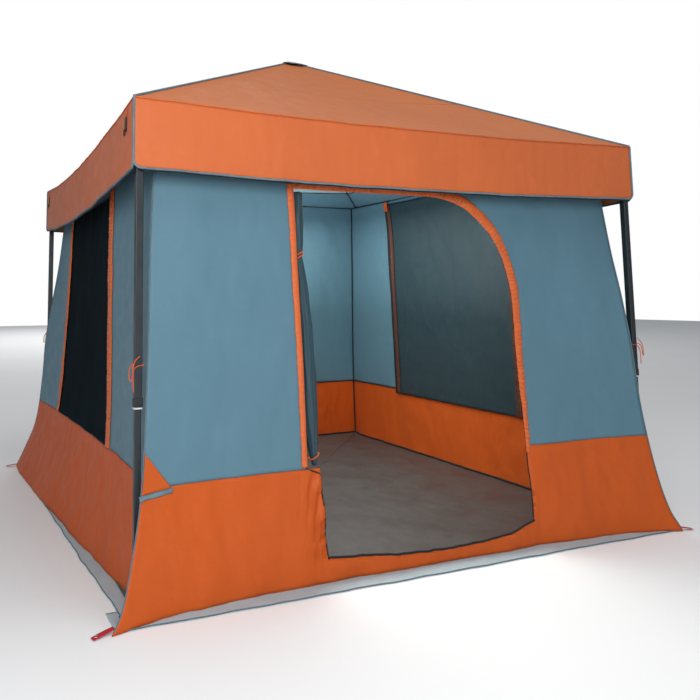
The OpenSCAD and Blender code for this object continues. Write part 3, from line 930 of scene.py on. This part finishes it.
def make_door_roll():
    """The door panel, unzipped, rolled up beside the doorway and tied with two loops."""
    low, high = SKIRT_TOP + 0.005, DOOR_TOP - 0.015
    girth = smooth_line((low, 0.35), (0.5, 0.55), (0.62, 0.9), (0.85, 1.05), (1.1, 0.9),
                        (1.28, 0.7), (1.33, 0.5), (1.38, 0.72), (1.5, 0.8), (high, 0.8))
    lean = smooth_line((low, 0.058), (0.62, 0.048), (0.9, 0.042), (1.2, 0.036), (1.33, 0.028),
                       (high, 0.036))
    turns, inner, pitch = 6.5, 0.005, 0.0042
    length = 0.85

    def middle(z):
        return panel_left(z) + lean(z)

    def surface(far, z):
        share = far / length
        angle = -turns * 2 * math.pi * share ** 0.6
        radius = inner + pitch * turns * share ** 0.6
        twist = 3 * wave(z / 0.3, 0, 5)
        flutes = 0.09 * math.sin(4 * angle + twist) + 0.05 * math.sin(9 * angle - twist)
        crumple = 0.004 * share * wave(far / 0.02, z / 0.12, 9)
        around = girth(z) * radius * (1 + share * flutes) + crumple
        x = middle(z) + around * math.cos(angle)
        out = wall_plain("front", x, z) - ROLL_INSIDE + around * math.sin(angle)
        return place("front", x, out, z)

    roll = cloth_grid("door_panel_rolled", "door_cloth", 230, 90,
                      lambda u, v: (u * length, low + (high - low) * v), surface,
                      thickness=0.0009)
    on_wall(roll, "front")
    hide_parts("door_roll")
    [make_roll_loop(z, middle, girth) for z in (0.49, 1.325, 1.34)]


def make_roll_loop(z, middle, girth):
    """A loop of cord round the roll, a little tilted."""
    radius = 0.033 * girth(z) + 0.003
    centre = place("front", middle(z), wall_plain("front", middle(z), z) - ROLL_INSIDE, z)
    loop = circle(centre, place("front", radius, 0, 0.012), place("front", 0, radius, 0), 24)
    return on_wall(tube(f"roll_loop_{round(z * 1000)}", "strap", loop, 0.0035, closed=True),
                   "front")


# ---- canopy ----

EAVE_SAG = {"front": 0.022, "back": 0.022, "left": 0.055, "right": 0.04}


def roof_point(side, across, out, lift=0.0):
    """A point of the roof: straight along its ridges, hollow between them."""
    down = out / HALF_ROOF
    share = min(abs(across) / max(out, 1e-6), 1)
    slack = (1 - share * share) * (EAVE_SAG[side] * down ** 1.5 + 0.03 * math.sin(math.pi * down))
    seed = SIDES[side] / 90 + 51
    pull = 0.0035 * wave(across / max(out, 0.05) * 9, down * 1.6, seed) * (1 - share ** 8)
    soft = 0.004 * wave(across / 0.3, out / 0.35, seed + 5) * (1 - share ** 4)
    z = PEAK - (PEAK - EAVE) * down - slack + (pull + soft) * min(down * 3, 1) + lift
    return place(side, across, out, z)


def roof_sheet(name, finish, near, far, surface, columns, rows):
    """A gore between two distances from the middle; its rows run up towards the peak."""
    def lay(u, v):
        out = far + (near - far) * v
        return ((2 * u - 1) * out, out)
    return cloth_grid(name, finish, columns, rows, lay, surface)


def diagonal_line(corner, surface, near, far, steps, lift):
    """Points along a corner's diagonal of the roof or of the ceiling."""
    side, way = facing(corner)
    return [surface(side, way * out, out, lift) for out in spaced(near, far, steps)]


def make_roof(side):
    fold = FOLD_SHARE * HALF_ROOF
    gores = (("upper", 0.03, fold, 70, 44), ("lower", fold, HALF_ROOF, 140, 44))
    for level, near, far, columns, rows in gores:
        panel = roof_sheet(f"roof_{level}_{side}", "canopy_cloth", near, far,
                           lambda across, out: roof_point(side, across, out), columns, rows)
        fit_to_fold(panel, side, f"roof_{level}_{side}")
        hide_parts(f"canopy_{level}_{side}")


def make_ridges():
    """Piping on the four ridges, in two lengths that part at the fold line."""
    fold = FOLD_SHARE * HALF_ROOF
    for corner in CORNERS:
        side = facing(corner)[0]
        for level, near, far in (("upper", 0.04, fold), ("lower", fold, HALF_ROOF)):
            points = diagonal_line(corner, roof_point, near, far, 40, 0.002)
            fit_to_fold(tube(f"ridge_{level}_{corner}", "piping", points, 0.006), side,
                        f"roof_{level}_{side}")


def make_peak_patch():
    """A square cap of doubled cloth, sewn over the middle of the roof."""
    half = 0.085
    blunt = 0.02
    slope = (PEAK - EAVE) / HALF_ROOF

    def surface(x, y):
        rounded = math.hypot(max(abs(x), abs(y)), blunt)
        crumple = 0.0015 * wave(x / 0.03, y / 0.03, 77)
        return Vector((x, y, PEAK + 0.004 + (blunt - rounded) * slope + crumple))

    patch = cloth_grid("peak_patch", "patch_cloth", 26, 26,
                       lambda u, v: ((2 * u - 1) * half, (2 * v - 1) * half), surface)
    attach(patch, "hub")


CORNER_ROUND = 0.03


def valance_depth(across):
    """How far the valance hangs at each place: less at its two rounded ends."""
    past = max(abs(across) - (HALF_ROOF - CORNER_ROUND), 0)
    return VALANCE_DROP - CORNER_ROUND + math.sqrt(max(CORNER_ROUND ** 2 - past ** 2, 0))


def valance_point(side, across, share, lift=0.0):
    """share is 0 at the eave and 1 at the hem."""
    seed = SIDES[side] / 90 + 71
    top = roof_point(side, across, HALF_ROOF).z
    end = 1 - (abs(across) / HALF_ROOF) ** 6
    sway = share * end * (0.006 * wave(across / 0.3, 0, seed) + 0.004)
    pucker = 0.0022 * end * wave(across / 0.045, share * 1.4, seed + 3)
    lean = (0.004 + 0.003 * wave(across / 0.5, share, seed + 6)) * share * end
    return place(side, across, HALF_ROOF + sway + pucker + lean + lift,
                 top - share * valance_depth(across))


def make_valance(side):
    sheet = cloth_grid(
        f"valance_cloth_{side}", "valance_cloth", 200, 22,
        lambda u, v: ((2 * u - 1) * HALF_ROOF, (1 - v) * VALANCE_DROP),
        lambda across, down: valance_point(side, across, down / VALANCE_DROP))
    fit_to_fold(sheet, side, f"side_{side}")
    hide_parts(f"valance_{side}")
    edge = [valance_point(side, -HALF_ROOF, share, 0.001) for share in spaced(0, 1, 16)[:-1]]
    edge += [valance_point(side, -HALF_ROOF * math.cos(angle), 1, 0.001)
             for angle in spaced(0, math.pi, 240)]
    edge += [valance_point(side, HALF_ROOF, share, 0.001) for share in spaced(1, 0, 16)[1:]]
    hem = tube(f"valance_piping_{side}", "piping", edge, 0.0045)
    fit_to_fold(hem, side, f"side_{side}")
    below = Vector((0, 0, -0.0065))
    binding = tube(f"valance_binding_{side}", "zip_tape",
                   [valance_point(side, across, 1, -0.001) + below
                    for across in spaced(0.02 - HALF_ROOF, HALF_ROOF - 0.02, 120)], ZIP)
    fit_to_fold(binding, side, f"side_{side}")
    eave = [valance_point(side, across, 0, 0.001) for across in spaced(-HALF_ROOF, HALF_ROOF, 120)]
    seam = tube(f"eave_seam_{side}", "valance_cloth", eave, 0.003)
    fit_to_fold(seam, side, f"side_{side}")


# ---- ceiling inside ----

CEILING_RISE = CEILING_PEAK - WALL_TOP
CEILING_FOLD = CEILING_HALF * 0.55


def ceiling_point(side, across, out, lift=0.0):
    down = out / CEILING_HALF
    share = min(abs(across) / max(out, 1e-6), 1)
    slack = (1 - share * share) * 0.045 * math.sin(math.pi * min(down, 1))
    soft = 0.006 * wave(across / 0.25, out / 0.3, SIDES[side] / 90 + 91) * (1 - share ** 4)
    z = CEILING_PEAK - CEILING_RISE * down - slack + soft + lift
    return place(side, across, out, z)


def fit_ceiling(obj, side, level):
    """The middle of the ceiling goes with the roof, and the rest with the walls."""
    if level == "upper":
        return fit_to_fold(obj, side, f"roof_upper_{side}")
    return on_wall(obj, side)


def make_ceiling(side):
    """A blue band above the wall, and the pale gores over it."""
    band = CEILING_HALF * (CEILING_PEAK - BAND_TOP) / CEILING_RISE
    gores = (("upper", "ceiling_cloth", 0.02, CEILING_FOLD, 44, 28),
             ("lower", "ceiling_cloth", CEILING_FOLD, band, 88, 28),
             ("band", "wall_cloth", band, CEILING_HALF, 88, 12))
    for level, finish, near, far, columns, rows in gores:
        panel = roof_sheet(f"ceiling_{level}_{side}", finish, near, far,
                           lambda across, out: ceiling_point(side, across, out), columns, rows)
        fit_ceiling(panel, side, level)
    seam = [ceiling_point(side, across, band, -0.003) for across in spaced(-band, band, 60)]
    wall_bead(f"band_binding_{side}", "zip_tape", side, seam, ZIP)


def make_ceiling_seams():
    spans = (("upper", 0.03, CEILING_FOLD), ("lower", CEILING_FOLD, CEILING_HALF))
    for corner in CORNERS:
        for level, near, far in spans:
            points = diagonal_line(corner, ceiling_point, near, far, 30, -0.004)
            seam = tube(f"ceiling_seam_{level}_{corner}", "zip_tape", points, BINDING)
            fit_ceiling(seam, facing(corner)[0], level)


# ---- ground ----

def floor_height(x, y):
    """The groundsheet's height: low folds that die out at its edges."""
    away = 1 - max(abs(x), abs(y)) / 1.3
    folds = 0.004 * wave(x / 0.4, y / 0.25, 101) + 0.0015 * wave(x / 0.07, y / 0.12, 103)
    return SHEET_TOP + 0.004 + max(folds, -0.003) * clamp(away * 6)


# How far each quarter of the groundsheet reaches, and its neighbours at its low and high ends
FLOOR_REACH = {"front": 1.29, "right": 1.288, "back": 1.435, "left": 1.30}
FLOOR_ENDS = {"front": ("left", "right"), "right": ("front", "back"),
              "back": ("right", "left"), "left": ("back", "front")}


def make_floor(side):
    """A quarter of the groundsheet, up to the hem of its wall. The side quarters run a little
    under the end ones."""
    reach = FLOOR_REACH[side]
    near, far = (FLOOR_REACH[end] for end in FLOOR_ENDS[side])
    under = 0 if is_end(side) else 0.006

    def lay(u, v):
        share = 0.002 + 0.998 * (1 - v)
        return (u * (near + far) * share - near * share + (2 * u - 1) * under, reach * share)

    def surface(across, out):
        spot = place(side, across, out, 0)
        spot.z = floor_height(spot.x, spot.y) - under * 0.2
        return spot

    sheet = cloth_grid(f"groundsheet_{side}", "groundsheet", 130, 70, lay, surface,
                       thickness=0.0015)
    fit_to_fold(sheet, side, f"ground_{side}")
    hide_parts(f"floor_{side}")


# The left strip's outer edge: the wall leans out over it towards the back
flap_bow = smooth_line((-1.36, 1.488), (0, 1.417), (0.62, 1.387), (1.07, 1.36), (1.4, 1.338))


def flap_edge(side, across):
    """How far out the strip on the ground ends."""
    ripple = 0.006 * wave(across / 0.12, 0, SIDES[side] / 90 + 111)
    if side == "left":
        return flap_bow(across) + ripple
    return FLAP_EDGE + ripple


def make_ground_flap(side):
    """The strip outside the walls that lies on the ground."""
    half = 1.395 if is_end(side) else 1.33

    def lay(u, v):
        return ((2 * u - 1) * half, 1 - v)

    def surface(across, share):
        inner = 1.24
        out = inner + (flap_edge(side, across) - inner) * share
        lump = 0.005 + 0.005 * wave(across / 0.055, out / 0.04, SIDES[side] / 90 + 121)
        lump *= clamp((share - 0.4) / 0.2) * (1 - 0.7 * share)
        return place(side, across, out, 0.0015 + max(lump, 0))

    sheet = cloth_grid(f"mud_flap_{side}", "ground_flap", 186, 12, lay, surface,
                       thickness=0.001)
    on_wall(sheet, side)
    edge = [surface(across, 1) + Vector((0, 0, 0.001)) for across in spaced(-half, half, 140)]
    hem = wall_bead(f"mud_flap_hem_{side}", "piping", side, edge, 0.0025)


def make_peg_tabs():
    """A red webbing tab with an eyelet at each corner, where a peg goes in."""
    for corner, (sx, sy) in CORNERS.items():
        side = facing(corner)[0]
        x, y = SEAMS[corner]
        start = Vector((sx * (x(0) - 0.015), sy * (y(0) - 0.03), 0.016))
        away = Vector((sx * 0.9, sy * 0.3, 0)).normalized()
        beside = Vector((-away.y, away.x, 0))
        bm = bmesh.new()
        bmesh.ops.create_grid(bm, x_segments=12, y_segments=4, size=0.5)
        uv = bm.loops.layers.uv.new("UVMap")
        for face in bm.faces:
            for loop in face.loops:
                loop[uv].uv = ((loop.vert.co.x + 0.5) * PEG_TAB,
                               (loop.vert.co.y + 0.5) * PEG_TAB_WIDTH)
        for vertex in bm.verts:
            far = (vertex.co.x + 0.5) * PEG_TAB
            drop = -0.012 * (far / PEG_TAB) ** 1.4
            aside = beside * vertex.co.y * PEG_TAB_WIDTH
            vertex.co = start + away * far + aside + Vector((0, 0, drop))
        tab = thicken(object_from(bm, f"peg_tab_{corner}", "peg_webbing"), 0.0016, 0)
        on_wall(tab, side)
        middle = start + away * (PEG_TAB - 0.014) + Vector((0, 0, -0.0075))
        ring = circle(middle, away * 0.0065, beside * 0.0065, 20)
        on_wall(tube(f"peg_eyelet_{corner}", "zinc", ring, 0.0016, closed=True), side)


# ---- small fittings ----

def make_plug_flap():
    """The triangular flap over the cable port, low on the front wall's left end."""
    corners = [Vector((-1.287, 0.594)), Vector((-1.295, 0.430)), Vector((-1.171, 0.446))]

    def lay(u, v):
        top, low_left, low_right = corners
        point = top.lerp(low_left.lerp(low_right, u), 1 - 0.97 * v)
        return (point.x, point.y)

    def surface(across, z):
        half = wall_half("front", -1, z)
        return wall_point("front", max(across, -half * 0.998), z,
                          0.006 + 0.002 * wave(across / 0.04, z / 0.05, 131))

    flap = cloth_grid("cable_port_flap", "skirt_cloth", 16, 16, lay, surface)
    on_wall(flap, "front")
    strip = [Vector(spot) for spot in zip(spaced(-1.167, -1.298, 20), spaced(0.446, 0.428, 20))]
    ribbon("cable_port_strip", "piping", "front", strip, 0.02, inner=0.0, ruffle=0.0006,
           lift=0.004, rows=4, seed=13.0)


def strap_patch(name, finish, side, across, low, high, width, surface):
    band = cloth_grid(name, finish, 6, 10,
                      lambda u, v: (across + (u - 0.5) * width, low + (high - low) * v), surface,
                      thickness=0.002, offset=1.0)
    return fit_to_fold(band, side, f"side_{side}")


def make_guy_points(side):
    """Webbing loops with a ring near each end of a side, for the guy lines."""
    node = f"guy_rings_{side}"
    low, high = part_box(node)[0].z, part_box(node)[1].z

    def surface(x, z):
        share = (roof_point(side, x, HALF_ROOF).z - z) / valance_depth(x)
        return valance_point(side, x, share, 0.0015)

    for across, end in ((-1.2, "a"), (1.2, "b")):
        loop = strap_patch(f"guy_loop_{side}_{end}", "webbing", side, across, low + 0.02, high,
                           0.03, surface)
        strap_patch(f"guy_patch_{side}_{end}", "strap", side, across, high - 0.008,
                    high + 0.022, 0.034, surface)
        middle = surface(across, low + 0.016) + place(side, 0, 0.006, 0)
        ring = circle(middle, place(side, 0.012, 0, 0), Vector((0, 0, 0.012)), 24)
        wire = tube(f"guy_ring_{side}_{end}", "black_nylon", ring, 0.002, closed=True)
        fit_to_fold(wire, side, f"side_{side}")
    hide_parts(node)


# ---- the frame's own nodes ----

FRAME_FINISHES = (("hub_body", "black_nylon"), ("peak_cap", "grey_nylon"),
                  ("inner_arm", "arm_paint"), ("outer_arm", "arm_paint"),
                  ("corner_bracket", "black_nylon"), ("upper_leg", "leg_paint"),
                  ("collar", "black_nylon"), ("lock_button", "zinc"), ("lower_leg", "leg_paint"))


def finish_frame():
    for name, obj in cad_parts.items():
        for start, finish in FRAME_FINISHES:
            if name.startswith(start):
                obj.data.materials.clear()
                obj.data.materials.append(FINISHES[finish])


def make_leg_rings():
    """The thin pale sleeve that shows under each collar, where the lower leg comes out."""
    for corner, (sx, sy) in CORNERS.items():
        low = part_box(f"collar_{corner}")[0].z
        width = LEG_TUBE + 0.003
        bm = bmesh.new()
        bmesh.ops.create_cube(bm, size=1)
        caps = [face for face in bm.faces if abs(face.normal.z) > 0.9]
        bmesh.ops.delete(bm, geom=caps, context="FACES_ONLY")
        corners = [edge for edge in bm.edges
                   if abs(edge.verts[0].co.z - edge.verts[1].co.z) > 0.5]
        bmesh.ops.bevel(bm, geom=corners, offset=0.12, segments=4, profile=0.5, affect="EDGES",
                        material=-1)
        for vertex in bm.verts:
            vertex.co = Vector((sx * LEG + vertex.co.x * width, sy * LEG + vertex.co.y * width,
                                low - 0.003 + vertex.co.z * 0.007))
        ring = thicken(object_from(bm, f"leg_ring_{corner}", "white_nylon"), 0.0015)
        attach(ring, f"leg_{corner}")


# ---- stage and light ----

def make_stage():
    bm = bmesh.new()
    bmesh.ops.create_grid(bm, x_segments=2, y_segments=2, size=30)
    for vertex in bm.verts:
        vertex.co.z = -0.001
    mesh = bpy.data.meshes.new("ground")
    bm.to_mesh(mesh)
    bm.free()
    pale = Finish("pale_floor", 0.9)
    pale.set("Base Color", pale.mix(pale.noise(pale.place(), 0.4), srgb(236, 236, 236),
                                    srgb(244, 244, 244)))
    mesh.materials.append(pale.material)
    new_object("ground", mesh)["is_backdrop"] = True


def add_light(name, spot, aim, size, watts, colour=(1, 1, 1)):
    data = bpy.data.lights.new(name, "AREA")
    data.size = size
    data.energy = watts
    data.color = colour
    light = bpy.data.objects.new(name, data)
    bpy.context.collection.objects.link(light)
    light.matrix_world = Matrix.Translation(spot) @ (
        (Vector(aim) - Vector(spot)).to_track_quat("-Z", "Y").to_matrix().to_4x4())


def make_lights():
    world = bpy.data.worlds.new("studio")
    bpy.context.scene.world = world
    world.use_nodes = True
    tree = world.node_tree
    backdrop = tree.nodes["Background"]
    backdrop.inputs["Color"].default_value = (1, 1, 1, 1)
    backdrop.inputs["Strength"].default_value = 1.0
    softly = tree.nodes.new("ShaderNodeBackground")
    softly.inputs["Color"].default_value = (0.92, 0.96, 1, 1)
    softly.inputs["Strength"].default_value = 0.36
    seen = tree.nodes.new("ShaderNodeLightPath")
    either = tree.nodes.new("ShaderNodeMixShader")
    tree.links.new(seen.outputs["Is Camera Ray"], either.inputs[0])
    tree.links.new(softly.outputs[0], either.inputs[1])
    tree.links.new(backdrop.outputs[0], either.inputs[2])
    tree.links.new(either.outputs[0], tree.nodes["World Output"].inputs["Surface"])
    add_light("key", (-2.6, -4.8, 2.2), (-0.5, -1.0, 1.0), 2.0, 148)
    add_light("top", (0.5, -2.5, 6.5), (0, 0, 1.5), 4.0, 105)
    add_light("far_ground", (4, 17, 8), (3, 16, 0), 13.0, 1000)
    add_light("inside_down", (0, 0.1, 1.80), (0, 0.1, 0), 1.8, 48, (1, 0.96, 0.88))
    add_light("inside_up", (0, 0.2, 1.0), (0, 0.2, 2), 1.2, 26)
    bpy.context.scene.view_settings.view_transform = "Standard"


# ---- assembly ----

for side in SIDES:
    make_wall_beads(side)
    make_wall(side)
    make_roof(side)
    make_valance(side)
    make_ceiling(side)
    make_floor(side)
    make_ground_flap(side)
make_door_trim()
make_window("left")
make_window("right")
make_window_flap()
make_door_roll()
make_ridges()
make_peak_patch()
make_ceiling_seams()
make_peg_tabs()
make_plug_flap()
make_guy_points("left")
make_guy_points("right")
finish_frame()
make_leg_rings()
make_stage()
make_lights()

visual_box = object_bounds()
[[list(corner) for corner in box] for box in (cad_box, visual_box)]
